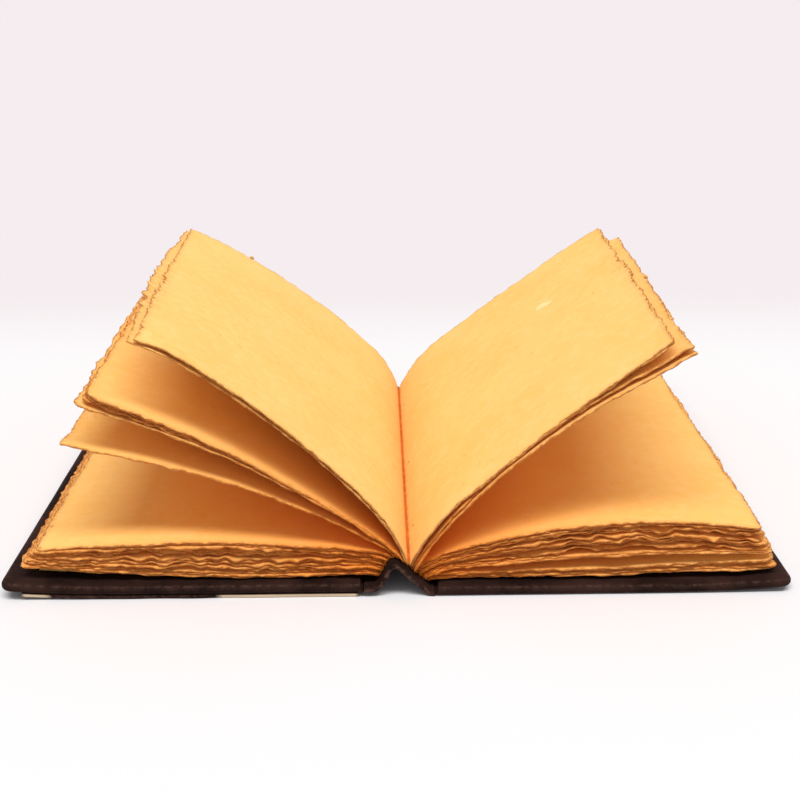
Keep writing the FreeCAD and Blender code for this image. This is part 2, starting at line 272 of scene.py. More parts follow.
def greyBoard(name):
    # Pressed waste-paper board: grey brown, flecked, matt.
    material, tree = emptyMaterial(name)
    place = node(tree, "ShaderNodeTexCoord").outputs["Object"]
    flecks = node(tree, "ShaderNodeTexNoise", {"Scale": 1 / (1.2 * metre), "Detail": 4.0},
                  {"Vector": place}).outputs["Fac"]
    colour = node(tree, "ShaderNodeMix", {"data_type": "RGBA", 6: linear("8F8778"), 7: linear("A89F8D")},
                  {0: flecks})
    shader = node(tree, "ShaderNodeBsdfPrincipled", {"Roughness": 0.9}, {"Base Color": colour.outputs[2]})
    node(tree, "ShaderNodeOutputMaterial", links={"Surface": shader.outputs[0]})
    return material


# spots on the first raised leaf at the right: place, size, raggedness and colour. The third
# coordinate picks the leaf out, as its seed does in the leaves' own mesh.
leafApart = 0.0713           # metres between two leaves' patches of the paper's noises
markedLeaf = 500 * leafApart
marks = [((0.0858, 0.0325, markedLeaf), 3.2, 2.0, "fleck"),
         ((0.0885, 0.030, markedLeaf), 2.6, 1.6, "fleck"),
         # three sewing holes near the fold, drawn as spots of painted shade
         ((0.0052, -0.0665, markedLeaf), 0.7, 0.2, "holeShade"),
         ((0.0050, -0.0100, markedLeaf), 0.7, 0.2, "holeShade"),
         ((0.0050, 0.0560, markedLeaf), 0.7, 0.2, "holeShade")]
leafPaper = ragPaper("rag paper, torn leaves", True)
gluedPaper = ragPaper("rag paper, pasted down", False)
rubbedHighlitHide = coverHide("waxed goat leather, worn and highlit arrises", edges="arris")
panelHide = coverHide("waxed goat leather, raw edge", edges="arris", raw="rawEdge")
spineCloth = liningCloth("black spine cloth")
board = greyBoard("grey board")
print("materials made")


arch = {
    "corners": [(-12.25, 1.6), (-6.9, 1.6), (-1.95, 11.75), (10.65, 0.0), (12.25, 0.0)],
    "radii": [5.0, 1.2, 3.0],
    "leather": 0.7,
    "blockStart": 5.6,       # along the back from the left joint to the first section
    "blockEnd": 3.0,
    "sections": 12,
}
backRise = 1.8               # two layers of leather, the glue and the bulge of the folds
pageHeight, pageWidth, coverHeight = 178.0, 125.0, 187.0
leafTurn = 26                # a leaf turns no further than this from where it leaves the back


def archLine(rise, spacing=0.25):
    # points along the arch at a height above its outer face, with the direction square
    # to it and the length so far
    corners = [Vector(c) for c in arch["corners"]]
    ways = [(b - a).normalized() for a, b in zip(corners, corners[1:])]
    squares = [Vector((-way.y, way.x)) for way in ways]
    moved = [corners[0] + squares[0] * rise]
    grown = []
    for corner, radius, way, after, a, b in zip(corners[1:-1], arch["radii"], ways, ways[1:],
                                                squares, squares[1:]):
        between = (a + b).normalized()
        moved.append(corner + between * (rise / between.dot(a)))
        turnsUp = way.x * after.y - way.y * after.x > 0
        grown.append(radius - rise if turnsUp else radius + rise)
    moved.append(corners[-1] + squares[-1] * rise)
    path = [moved[0]]
    for before, corner, after, radius in zip(moved, moved[1:], moved[2:], grown):
        back, ahead = (before - corner).normalized(), (after - corner).normalized()
        half = back.angle(ahead) / 2
        middle = (back + ahead).normalized()
        centre = corner + middle * (radius / math.sin(half))
        start = corner + back * (radius / math.tan(half)) - centre
        end = corner + ahead * (radius / math.tan(half)) - centre
        sweep = start.angle_signed(end)
        steps = max(int(abs(sweep) * radius / spacing), 4)
        for step in range(steps + 1):
            turn = -sweep * step / steps
            path.append(centre + Vector((start.x * math.cos(turn) - start.y * math.sin(turn),
                                         start.x * math.sin(turn) + start.y * math.cos(turn))))
    path.append(moved[-1])
    points = np.array([tuple(p) for p in path])
    runs = np.hypot(*np.diff(points, axis=0).T)
    length = np.concatenate([[0], np.cumsum(runs)])
    even = np.linspace(0, length[-1], int(length[-1] / spacing) + 1)
    x, z = np.interp(even, length, points[:, 0]), np.interp(even, length, points[:, 1])
    wayX, wayZ = np.gradient(x, even), np.gradient(z, even)
    scale = np.hypot(wayX, wayZ)
    return {"x": x, "z": z, "squareX": -wayZ / scale, "squareZ": wayX / scale, "length": even}


back = archLine(backRise, 0.1)


# Angles are in degrees above level. Pairs give the first and last leaf of a bundle, in
# the order from the left cover over the back to the right one. "layers", "back", "lean",
# "tip" and "bend" are those of the part's source, and "leaves" is how many are drawn here.
# tuck: added to the angle at which a leaf leaves the back. twist: how much lower it lies
# at the head. short, skew and tailOut: how its outline differs from a full leaf's. bow:
# how far its fore-edge swells out, on the first leaf and the others. curl: how far the
# near corner rises. loose and cling: how the leaves part. folded: how strong
# the painted shade is near the fold. wear: its corners' rounding. pulp: middle and reach
# of a thick band of fibre along the fore-edge. tufts: share, s, t and size.
bundles = {
    "leftStack": {"side": left, "layers": 9, "back": 10.2, "lean": (-1.8, 6.5), "tip": (5.5, -6),
                  "bend": (5, 9), "leaves": 14, "loose": 0.9},
    "singleLeaf": {"side": left, "layers": 1, "back": 0.8, "lean": (31, 31), "tip": (8.5, 8.5),
                   "bend": (7, 7), "short": 3.5, "leaves": 1, "loose": 0.3, "curl": 1.2,
                   "wear": (0.8, 2)},
    "halfRaisedBundle": {"side": left, "layers": 3, "back": 3.8, "lean": (36.5, 39),
                         "tip": (18, 22), "bend": (9.5, 6), "short": 1.5, "skew": 2,
                         "bow": (0.6, 0.6), "leaves": 5, "loose": 0.7},
    "leftRaisedLeaves": {"side": left, "layers": 2, "back": 1.8, "lean": (48, 49),
                         "tip": (30, 30.5), "bend": (25, 26), "twist": 4.5, "skew": 4.5, "leaves": 2,
                         "loose": 0.5, "folded": 0.0, "curl": -1.8, "pulp": (-28, 34),
                         "bow": (2.8, 0.6), "wear": (0.6, 1.5),
                         "tufts": [(1, 97.7, 90.6, 0.9), (1, 98.2, 92.0, 0.8)]},
    "rightRaisedLeaves": {"side": right, "layers": 2, "back": 1.4, "lean": (42.5, 42),
                          "tip": (37.5, 36.5), "bend": (32, 32), "tuck": 20, "twist": 3.5,
                          "short": 4.5, "skew": 5.5, "leaves": 2, "loose": 0.3, "folded": 0.1,
                          "pulp": (15, 22), "wear": (0.6, 1.5), "cling": 0.3},
    "rightSecondLeaves": {"side": right, "layers": 2, "back": 1.4, "lean": (49.5, 49),
                          "tip": (25.5, 24.5), "bend": (26, 26), "tuck": 14, "twist": 4,
                          "short": 0.8, "skew": 7.5, "leaves": 2, "loose": 0.5, "curl": 1.2,
                          "wear": (0.6, 1.5), "tailOut": (0, 1.6),
                          "tufts": [(0, 128.3, 9.0, 0.8), (0, 128.7, 11.0, 0.6)]},
    "rightStack": {"side": right, "layers": 8, "back": 4.0, "lean": (16.5, 7), "tip": (-9, -2),
                   "bend": (17, 9), "skew": 2.5, "leaves": 12, "loose": 0.9,
                   "tufts": [(0, 125.9, -28.0, 0.9), (0, 126.2, -24.0, 0.7)]},
    "rightLowStack": {"side": right, "layers": 4, "back": 2.3, "lean": (0.8, 0),
                      "tip": (3, 2.5), "bend": (8, 5), "leaves": 5, "loose": 0.8},
}
leafForm = {
    "thickness": 0.5,        # soft unpressed paper
    "deckle": 0.8,           # how far the torn edge wanders, each way
    "start": 0.5,            # from the back
    "outlineStep": 1.0,
    "openGrid": 3.5,         # mesh spacing where a leaf's face shows
    "hiddenGrid": 9.0,
    "rootGrid": 1.5,         # finer near the back, where a leaf bends most
    "rootReach": 16.0,
    "rootRow": 6.0,          # spacing of the points along the back
    "foreClear": 3.3,        # how far the grid stays inside the torn edge
    "endClear": 3.4,
    "innermost": 6.0,        # distances from the edge are counted up to this
    "cornerWear": (1.5, 5.0),
    "outerReach": (-0.4, 0.3),       # how unevenly the leaves' edges lie
    "innerReach": (-1.7, 0.5),
    "innerBow": (-0.6, 0.8),
    "innerFoldShade": 0.4,              # painted shade on leaves that lie between others
    "rings": ((0.0, 1), (0.7, 1), (1.8, 2)),     # mesh rings in from the edge, every nth point
    "edgeBand": 7.0,         # the leaves part in waves within this distance from their edges
    "edgeWaves": (17, 7),
    "clingWaves": 80,
    "rimDepth": 0.6,         # the torn edge's darker colour, part dye and part painted shade
    "foldShadeDepth": 58.0,       # and that of the painted shade near the folds
}

backScale = (back["length"][-1] - arch["blockStart"] - arch["blockEnd"]) / sum(
    bundle["back"] for bundle in bundles.values())
along = arch["blockStart"]
for order, bundle in enumerate(bundles.values()):
    bundle["seed"] = 100 * (order + 1)
    bundle["place"] = along
    bundle["pitch"] = bundle["back"] * backScale / bundle["layers"]
    along += bundle["pitch"] * bundle["layers"]


def arcEnd(x, z, side, first, last, length):
    # end of a line whose angle changes evenly from first to last
    change = np.where(np.abs(last - first) < 1e-5, 1e-5, last - first)
    radius = length / change
    return (x + side * radius * (np.sin(first + change) - np.sin(first)),
            z - radius * (np.cos(first + change) - np.cos(first)))


def leafLine(bundle, share, s, t):
    # where a point of a leaf lies, and its angle, by the distance s from the back and the
    # place t along it; share runs from 0 to 1 through the bundle
    side = bundle["side"]
    distance = bundle["place"] + (share * (bundle["layers"] - 1) + 0.5) * bundle["pitch"]
    x, z, across, up = (np.interp(distance, back["length"], back[key])
                        for key in ("x", "z", "squareX", "squareZ"))

    def between(name):
        first, last = bundle[name]
        return first + (last - first) * share
    lowered = bundle.get("twist", 0) * (t / pageHeight + 0.5)
    rise = np.arctan2(up, side * across) + math.radians(bundle.get("tuck", 0))
    rise = np.minimum(rise, np.radians(between("lean") + leafTurn))
    lean = np.radians(between("lean") - lowered)
    tip = np.radians(between("tip") - lowered)
    bend = between("bend")
    rest = pageWidth - bundle.get("short", 0) - bend
    near = np.minimum(s, bend)
    first = rise + (lean - rise) * near / bend
    x, z = arcEnd(x, z, side, rise, first, near)
    far = np.maximum(s - bend, 0)
    last = first + (tip - lean) * far / rest
    x, z = arcEnd(x, z, side, first, last, far)
    return x, z, last


def leafShares(bundle, s, t):
    # how the leaves of a bundle cling together and part, without crossing
    count = bundle["leaves"]
    if count == 1:
        return np.zeros((1,) + s.shape)
    rng = random.Random(bundle["seed"])
    width = pageWidth - bundle.get("short", 0)
    inside = np.minimum(np.minimum(width - s, t + pageHeight / 2), pageHeight / 2 - t)
    atEdge = np.exp(-np.clip(inside, 0, None) / leafForm["edgeBand"])
    longWave, shortWave = leafForm["edgeWaves"]
    out = smooth(s, 4, 45)
    gaps = []
    for gap in range(count - 1):
        seed = bundle["seed"] + gap
        looseness = rng.choice([-1.6, -0.5, 0.2, 0.9, 1.5]) * bundle["loose"]
        apart = out * (looseness + 0.8 * bundle["loose"] * swell(seed, s, t, leafForm["clingWaves"]))
        waves = 0.5 * swell(seed + 40, s, t, longWave) + 0.5 * swell(seed + 45, s, t, shortWave)
        gaps.append(np.exp(apart + atEdge * smooth(s, 3, 15) * waves))
    gaps = np.array(gaps)
    lowX, lowZ, _ = leafLine(bundle, 0.0, s, t)
    highX, highZ, _ = leafLine(bundle, 1.0, s, t)
    height = np.hypot(highX - lowX, highZ - lowZ)
    thickness = leafForm["thickness"] * 0.96
    slack = np.maximum(height - (count - 1) * thickness, 0)
    gaps = thickness + slack * gaps / gaps.sum(axis=0)
    total = np.concatenate([np.zeros((1,) + s.shape), np.cumsum(gaps, axis=0)])
    extra = np.maximum(total[-1] - height, 0) / 2
    loosely = bundle.get("cling", 1) + (1 - bundle.get("cling", 1)) * np.exp(-s / 15)
    return (total - extra) / height * loosely


def deckle(seed, distance, roughest):
    # a torn edge wanders gently, with rougher stretches, small nicks and tufts of fibre
    rough = np.maximum(smooth(swell(seed + 4, distance, 0, 45), -0.2, 0.8), roughest)
    wander = (0.5 * swell(seed, distance, 0, 34) + 0.35 * swell(seed + 1, distance, 0, 13)
              + (0.1 + 0.3 * rough) * swell(seed + 2, distance, 0, 4.5)
              + 0.16 * rough * swell(seed + 3, distance, 0, 2.2))
    rng = random.Random(seed)
    place = rng.uniform(0, 14)
    while place < distance[-1]:
        size, reach = rng.uniform(-0.8, 0.7), rng.uniform(0.5, 1.8)
        wander = wander + size * np.exp(-((distance - place) / reach) ** 2)
        place += rng.uniform(9, 34)
    return wander * leafForm["deckle"]


def leafBorder(bundle, leaf, step):
    # the worn rectangle of a leaf, from its root at the tail round to its root at the
    # head, with the outward direction and the torn edge's wander
    rng = random.Random(bundle["seed"] + leaf * 3 + 1)
    inner = 0 < leaf < bundle["leaves"] - 1
    out = leafForm["innerReach"] if inner else leafForm["outerReach"]
    width = pageWidth - bundle.get("short", 0) + rng.uniform(*out)
    widest = width + bundle.get("skew", 0)
    tail, head = (end * (pageHeight / 2 + rng.uniform(*out)) for end in (-1, 1))
    tail -= bundle.get("tailOut", (0, 0))[leaf > 0]
    start = leafForm["start"]
    places, ways = [], []

    def run(x0, y0, x1, y1, way):
        length = math.hypot(x1 - x0, y1 - y0)
        for share in np.arange(0, 1 - 0.5 * step / length, step / length):
            places.append((x0 + (x1 - x0) * share, y0 + (y1 - y0) * share))
            ways.append(way)

    def corner(cx, cy, radius, first):
        steps = max(int(radius * math.pi / 2 / step), 3)
        for count in range(steps):
            turn = math.radians(first + 90 * count / steps)
            places.append((cx + radius * math.cos(turn), cy + radius * math.sin(turn)))
            ways.append((math.cos(turn), math.sin(turn)))
    worn = [rng.uniform(*bundle.get("wear", leafForm["cornerWear"])) for _ in range(2)]
    run(start, tail, width - worn[0], tail, (0, -1))
    corner(width - worn[0], tail + worn[0], worn[0], -90)
    run(width, tail + worn[0], widest, head - worn[1], (1, 0))
    corner(widest - worn[1], head - worn[1], worn[1], 0)
    run(widest - worn[1], head, start, head, (0, 1))
    places.append((start, head))
    ways.append((0, 1))
    places, ways = np.array(places), np.array(ways)
    bow = bundle.get("bow", (0, 0))[leaf > 0] + (rng.uniform(*leafForm["innerBow"]) if inner else 0)
    atFore = smooth(places[:, 0], width - 6, width - 1)
    places[:, 0] += bow * atFore * np.sin(np.pi * (places[:, 1] - tail) / (head - tail))
    runs = np.hypot(*np.diff(places, axis=0).T)
    distance = np.concatenate([[0], np.cumsum(runs)])
    wander = deckle(bundle["seed"] + leaf * 11 + 5, distance, 1.0 if inner else 0.0)
    if "pulp" in bundle:
        middle, reach = bundle["pulp"]
        pulp = atFore * np.exp(-((places[:, 1] - middle) / reach) ** 2)
        wander = wander + pulp * (0.9 * swell(bundle["seed"] + leaf, distance, 0, 3.2)
                                  + 0.5 * swell(bundle["seed"] + leaf + 1, distance, 0, 7))
    settled = smooth(distance, 0, 6) * smooth(distance[-1] - distance, 0, 6)
    return places, ways, wander * settled, width, (tail, head)


def flatLeaf(bundle, leaf, isOpen):
    # the leaf's outline filled with triangles: its points, their distance in from the
    # edge, the triangles, and the leaf's width and tail
    grid = leafForm["openGrid"] if isOpen else leafForm["hiddenGrid"]
    places, ways, wander, width, (tail, head) = leafBorder(bundle, leaf, leafForm["outlineStep"])
    start, reach, innermost = (leafForm[key] for key in ("start", "rootReach", "innermost"))
    flat, inset = [], []
    for depth, every in leafForm["rings"]:
        ring = places + ways * (wander * max(0.0, 1 - depth / innermost) - depth)[:, None]
        ring[:, 0] = np.maximum(ring[:, 0], start)
        flat += list(ring[::every])
        inset += [depth] * len(ring[::every])
    fromRoot = list(np.arange(head - 4, tail + 4, -leafForm["rootRow"]))
    loop = list(range(len(places))) + list(range(len(flat), len(flat) + len(fromRoot)))
    flat += [(start, y) for y in fromRoot]
    inset += [3.0] * len(fromRoot)
    stations = (list(np.arange(start + 1.3, reach, leafForm["rootGrid"]))
                + list(np.arange(reach, width - leafForm["foreClear"], grid)))
    clear = leafForm["endClear"]
    rows = np.linspace(tail + clear, head - clear, max(int((head - tail) / grid), 2))
    for column, x in enumerate(stations):
        shift = grid / 4 if column % 2 else -grid / 4
        wider = bundle.get("skew", 0) * smooth(x, reach, width) / width
        flat += [(x * (1 + wider * (y - tail) / (head - tail)),
                  y + shift * (tail + innermost < y < head - innermost)) for y in rows]
    inset += [innermost] * (len(flat) - len(inset))
    made = delaunay_2d_cdt([Vector(p) for p in flat], [], [loop], 1, 1e-4)
    verts, triangles, origins = made[0], made[2], made[3]
    depth = np.minimum([inset[o[0]] if o else 0.0 for o in origins], innermost)
    s, t = np.array([v.x for v in verts]), np.array([v.y for v in verts])
    return s, t, depth, triangles, width, tail


def shellFaces(triangles, count):
    # top, underside and rim of a sheet whose underside's points follow its top's
    edges = {}
    for face in triangles:
        for a, b in zip(face, face[1:] + face[:1]):
            edges[(a, b)] = True
    rim = [(a, b) for a, b in edges if (b, a) not in edges]
    return ([list(face) for face in triangles]
            + [[v + count for v in face[::-1]] for face in triangles]
            + [[b, a, a + count, b + count] for a, b in rim])


def leafMesh(bundle, leaf, isOpen):
    s, t, depth, triangles, width, tail = flatLeaf(bundle, leaf, isOpen)
    x, z, angle = leafLine(bundle, leafShares(bundle, s, t)[leaf], s, t)
    side, seed, count = bundle["side"], bundle["seed"] + leaf, len(s)
    ripple = bundle["loose"] * 0.35 * smooth(s, 10, 70) * swell(bundle["seed"] + 7, s, t, 55)
    nearCorner = np.hypot(width - s, t - tail)
    ripple = ripple + bundle.get("curl", 0) * np.exp(-(nearCorner / 7) ** 2)
    fluff = np.exp(-depth / 1.2)
    ripple = ripple + 0.16 * fluff * smooth(s, 3, 10) * swell(seed + 60, s, t, 6)
    lumps = 0.5 + 0.5 * swell(seed + 70, s, t, 3.2)
    halfThick = leafForm["thickness"] / 2 * (1 - 0.55 * np.exp(-depth / 0.3) + 0.6 * fluff * lumps)
    if side == left:
        triangles = [face[::-1] for face in triangles]
    faces = shellFaces(triangles, count)
    # the torn edge's darker colour: dye, and painted shade between the leaves; the pulp band takes it too
    darkness = np.exp(-depth / leafForm["rimDepth"])
    if "pulp" in bundle:
        middle, reach = bundle["pulp"]
        pulp = smooth(s, width - 8, width - 2) * np.exp(-((t - middle) / reach) ** 2)
        halfThick = halfThick * (1 + 0.8 * pulp * np.exp(-depth / 3) * swell(seed + 80, s, t, 2.6))
        darkness = np.maximum(darkness, 0.6 * pulp * np.exp(-depth / 2.5) * lumps)
    # painted shade towards the fold, and throughout on leaves that lie between others
    folded = bundle.get("folded", 0.9) * np.exp(-s / leafForm["foldShadeDepth"])
    if 0 < leaf < bundle["leaves"] - 1:
        folded = np.maximum(folded, leafForm["innerFoldShade"])
    upX, upZ = -side * np.sin(angle), np.cos(angle)
    centre = np.column_stack([x + upX * ripple, t, z + upZ * ripple])
    up = np.column_stack([upX, np.zeros_like(t), upZ])
    top, bottom = centre + up * halfThick[:, None], centre - up * halfThick[:, None]
    place = np.column_stack([s * metre, t * metre, np.full(count, seed * leafApart)])
    below = place + [0, 0, leafApart / 2]
    return (np.vstack([top, bottom]), faces, np.concatenate([darkness, darkness]),
            np.vstack([place, below]), np.concatenate([folded, folded]))


def tuft(bundle, share, s, t, size):
    # a small lump of loose fibre that hangs on a torn edge
    x, z, angle = leafLine(bundle, share, np.array([s]), np.array([t]))
    rings, around = 7, 10
    points, faces = [], []
    for ring in range(rings):
        tilt = math.pi * (ring + 0.5) / rings
        for step in range(around):
            turn = 2 * math.pi * step / around
            reach = size * (1 + 0.35 * math.sin(3.1 * turn + 5 * tilt + s))
            points.append((x[0] + reach * math.sin(tilt) * math.cos(turn), t + reach * math.cos(tilt),
                           z[0] + 0.7 * reach * math.sin(tilt) * math.sin(turn)))
    for ring in range(rings - 1):
        for step in range(around):
            a, b = ring * around + step, ring * around + (step + 1) % around
            faces.append([a, b, b + around, a + around])
    faces.append(list(range(around))[::-1])
    faces.append(list(range((rings - 1) * around, rings * around)))
    return np.array(points), faces


def leafBundle(name):
    bundle = bundles[name]
    points, faces, rims, places, folds = [], [], [], [], []
    for leaf in range(bundle["leaves"]):
        uppermost = bundle["leaves"] - 1 if bundle["side"] == left else 0
        made = leafMesh(bundle, leaf, leaf == uppermost or not name.endswith("Stack"))
        offset = sum(len(p) for p in points)
        points.append(made[0])
        faces += [[v + offset for v in face] for face in made[1]]
        rims.append(made[2])
        places.append(made[3])
        folds.append(made[4])
    for spot in bundle.get("tufts", ()):
        made = tuft(bundle, *spot)
        offset = sum(len(p) for p in points)
        points.append(made[0])
        faces += [[v + offset for v in face] for face in made[1]]
        rims.append(np.full(len(made[0]), 0.5))
        places.append(made[0] * metre)
        folds.append(np.zeros(len(made[0])))
    piece = makeMesh(name, np.vstack(points), faces,
                     {"rim": np.concatenate(rims), "leafPlace": np.vstack(places),
                      "fold": np.concatenate(folds)}, leafPaper)
    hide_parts("text_block")
    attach(piece, "pages_and_spine")
    print(name, len(faces), "faces")


for name in bundles:
    leafBundle(name)


def loftFaces(rows, ring):
    # sides and ends of a shell whose cross-sections run out along one face and back
    # along the other
    faces = []
    for row in range(rows - 1):
        for i in range(ring):
            j = (i + 1) % ring
            faces.append([row * ring + i, row * ring + j, (row + 1) * ring + j, (row + 1) * ring + i])
    for row, flip in ((0, False), (rows - 1, True)):
        start = row * ring
        for i in range(ring // 2 - 1):
            face = [start + i, start + ring - 1 - i, start + ring - 2 - i, start + i + 1]
            faces.append(face[::-1] if flip else face)
    return faces


# the rounded back folds of the sections: depth into the block, bulge towards the spine,
# inset from head and tail, and mesh step
foldForm = {"depth": 0.7, "bulge": 0.3, "inset": 1.2, "step": 3.0}


def sewnFolds():
    usable = back["length"][-1] - arch["blockStart"] - arch["blockEnd"]
    count = arch["sections"] * 8
    distance = arch["blockStart"] + np.linspace(0.1, usable - 0.1, count + 1)
    x, z, across, up = (np.interp(distance, back["length"], back[key])
                        for key in ("x", "z", "squareX", "squareZ"))
    phase = (distance - arch["blockStart"]) / usable * arch["sections"] * math.pi
    reach = pageHeight / 2 - foldForm["inset"]
    stations = np.linspace(-reach, reach, int(2 * reach / foldForm["step"]) + 1)
    points = []
    for y in stations:
        bulge = foldForm["bulge"] * np.abs(np.sin(phase)) * (1 + 0.25 * swell(31, distance, y, 30))
        outer = np.column_stack([x - across * bulge, np.full_like(x, y), z - up * bulge])
        inner = np.column_stack([x + across * foldForm["depth"], np.full_like(x, y),
                                 z + up * foldForm["depth"]])
        points += [outer, inner[::-1]]
    points = np.vstack(points)
    # the sewn folds take the full painted shade and a darker rim
    piece = makeMesh("sewnFolds", points, loftFaces(len(stations), 2 * (count + 1)),
                     {"rim": np.full(len(points), 0.6), "leafPlace": points * metre,
                      "fold": np.ones(len(points))}, leafPaper)
    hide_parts("text_block")
    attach(piece, "pages_and_spine")


sewnFolds()
print("text block made")


coverForm = {
    "width": 126.0,
    "joint": 12.75,
    "level": {left: 1.6, right: 0.0},
    "turnIn": 15.0,
    "cornerRound": 4.0,
    "warpLength": 44.0,
    "warpAngle": 5.0,
    "mitreDepth": 0.25,      # the seam where the turn-ins meet at a corner
    "waviness": 0.07,
}
# rings of the wrapped leather, from the turn-in's edge on the pages' side round the rim to
# the outside: inset from the rim, height, distance from the joint, wear (the 0.6 on the
# top arris is mostly a painted highlight, the rest is rubbing)
coverRings = [
    (coverForm["turnIn"], 2.55, 5.0, 0), (coverForm["turnIn"], 3.3, 5.0, 0.1),
    (12.0, 3.34, 4.0, 0), (7.0, 3.34, 3.2, 0),
    (3.0, 3.34, 2.4, 0), (1.3, 3.27, 1.7, 0.1), (0.7, 3.1, 1.3, 0.6), (0.25, 2.8, 1.0, 0.2),
    (0.0, 2.2, 0.8, 0.15), (-0.03, 1.65, 0.65, 0.0), (0.0, 1.1, 0.5, 0.1), (0.25, 0.66, -0.1, 0.2),
    (0.7, 0.3, -0.34, 0.2), (1.4, 0.05, -0.2, 0.1), (3.0, 0.0, 0.3, 0), (8.0, 0.0, 5.0, 0),
    (20.0, 0.0, 16.0, 0),
]


def warped(side, p, y, height):
    # the outer part of a cover curls up a little
    flat = coverForm["width"] - coverForm["warpLength"]
    x = np.full_like(p, side * coverForm["joint"]) + side * np.minimum(p, flat)
    z = np.full_like(p, coverForm["level"][side])
    over = np.maximum(p - flat, 0)
    turn = np.radians(coverForm["warpAngle"]) * over / coverForm["warpLength"]
    x, z = arcEnd(x, z, side, np.zeros_like(p), turn, over)
    return np.column_stack([x - side * np.sin(turn) * height, y, z + np.cos(turn) * height])


def coverColumns():
    # the parts of a cover's outline in order, with the share of the way along each
    columns = []
    for count in range(40):
        columns.append(("tail", count / 40))
    for count in range(11):
        columns.append(("tailCorner", count / 10))
    for count in range(1, 60):
        columns.append(("fore", count / 60))
    for count in range(11):
        columns.append(("headCorner", count / 10))
    for count in range(1, 41):
        columns.append(("head", count / 40))
    for count in range(1, 60):
        columns.append(("joint", count / 60))
    return columns


def coverRing(columns, inset, jointInset):
    half = coverHeight / 2
    radius = max(coverForm["cornerRound"] - inset, 1.5)
    out = coverForm["width"] - inset
    edge = half - inset
    spots = []
    for part, share in columns:
        turn = math.radians(90 * share)
        if part == "tail":
            spots.append((jointInset + (out - radius - jointInset) * share, -edge))
        elif part == "tailCorner":
            spots.append((out - radius + radius * math.sin(turn), -edge + radius - radius * math.cos(turn)))
        elif part == "fore":
            spots.append((out, (-edge + radius) + 2 * (edge - radius) * share))
        elif part == "headCorner":
            spots.append((out - radius + radius * math.cos(turn), edge - radius + radius * math.sin(turn)))
        elif part == "head":
            spots.append((out - radius - (out - radius - jointInset) * share, edge))
        else:
            spots.append((jointInset, edge - 2 * edge * share))
    return np.array(spots)


def coverLeather(side, name, solid, body):
    columns = coverColumns()
    count = len(columns)
    seam = np.array(["Corner" in part and abs(share - 0.5) < 0.08 for part, share in columns])
    joint = np.array([part == "joint" for part, _ in columns])
    points, arris = [], []
    rings = coverRings + [(1.0, 0.7, 1.0, 0), (1.0, 2.5, 1.0, 0)]
    for inset, height, jointInset, wear in rings:
        spots = coverRing(columns, inset, jointInset)
        lift = np.full(count, height)
        if height > 3.2 and inset > 1:       # on the turned-in leather
            lift = lift - coverForm["mitreDepth"] * seam
        lift = lift + coverForm["waviness"] * swell(41 + side, spots[:, 0], spots[:, 1] + height * 4, 30)
        points.append(warped(side, spots[:, 0], spots[:, 1], lift))
        arris.append(np.where(joint, 0.2 * wear, wear))
    faces = []

    def band(first, second):
        for i in range(count):
            j = (i + 1) % count
            face = [first * count + i, first * count + j, second * count + j, second * count + i]
            faces.append(face if side == right else face[::-1])
    for ring in range(len(coverRings) - 1):
        band(ring, ring + 1)
    last = len(coverRings) - 1
    under = list(range(last * count, (last + 1) * count))
    faces.append(under if side == right else under[::-1])
    inner, top = len(coverRings), len(coverRings) + 1
    inside = list(range(inner * count, (inner + 1) * count))
    faces.append(inside[::-1] if side == right else inside)
    band(inner, top)
    band(top, 0)
    piece = makeMesh(name, np.vstack(points), faces, {"arris": np.concatenate(arris)}, rubbedHighlitHide)
    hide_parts(solid)
    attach(piece, body)


coverLeather(left, "leftCoverLeather", "left_cover_leather", "left_cover")
coverLeather(right, "rightCoverLeather", "right_cover_leather", "right_cover")


# how far the spine's leather reaches on to each joint, and how deep it creases
spineForm = {"toJoint": 0.12, "slack": 0.12}


def spineLeather():
    outer = archLine(0.0, 0.5)
    outer["x"][[0, -1]] += (-spineForm["toJoint"], spineForm["toJoint"])
    count = len(outer["x"])
    thick = arch["leather"]
    half = coverHeight / 2
    # stations over the height: how far in, and the inner face's height above the outer one
    ends = [(0.0, 0.45, 0.95), (0.12, 0.15, 1.25), (0.4, 0.0, 1.4), (2.0, 0.0, 1.4), (8.0, 0.0, 1.4),
            (14.7, 0.0, 1.4), (15.0, 0.0, 1.25), (15.1, 0.0, 0.7)]
    middle = np.linspace(-half + 17, half - 17, 44)
    stations = ([(-half + d, low, high) for d, low, high in ends] + [(y, 0.0, thick) for y in middle]
                + [(half - d, low, high) for d, low, high in ends[::-1]])
    points, arris = [], []
    for y, low, high in stations:
        crease = spineForm["slack"] * swell(51, outer["length"], y * 0.25, 9)
        crease = crease * smooth(outer["length"], 0, 5) * smooth(outer["length"][-1] - outer["length"], 0, 5)
        for rise, line in ((low, 1), (high, -1)):
            px = outer["x"] + outer["squareX"] * (rise + crease * (line > 0))
            pz = outer["z"] + outer["squareZ"] * (rise + crease * (line > 0))
            row = np.column_stack([px, np.full(count, y), np.maximum(pz, 0.0)])
            points.append(row if line > 0 else row[::-1])
            atEnd = math.exp(-(half - abs(y)) / 0.5)
            arris.append(np.full(count, atEnd))
    piece = makeMesh("spineLeather", np.vstack(points), loftFaces(len(stations), 2 * count),
                     {"arris": np.concatenate(arris)}, rubbedHighlitHide)
    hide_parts("spine_leather")
    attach(piece, "pages_and_spine")


spineLeather()


panelForm = {
    "width": 117.0,
    "setback": 1.5,
    "inset": 0.4,
    "thickness": 1.6,
    "rawSpan": (-62.5, -14.5),       # x where its tail edge is left raw and cream
    "patchSpan": (-130.5, -122.5),
}


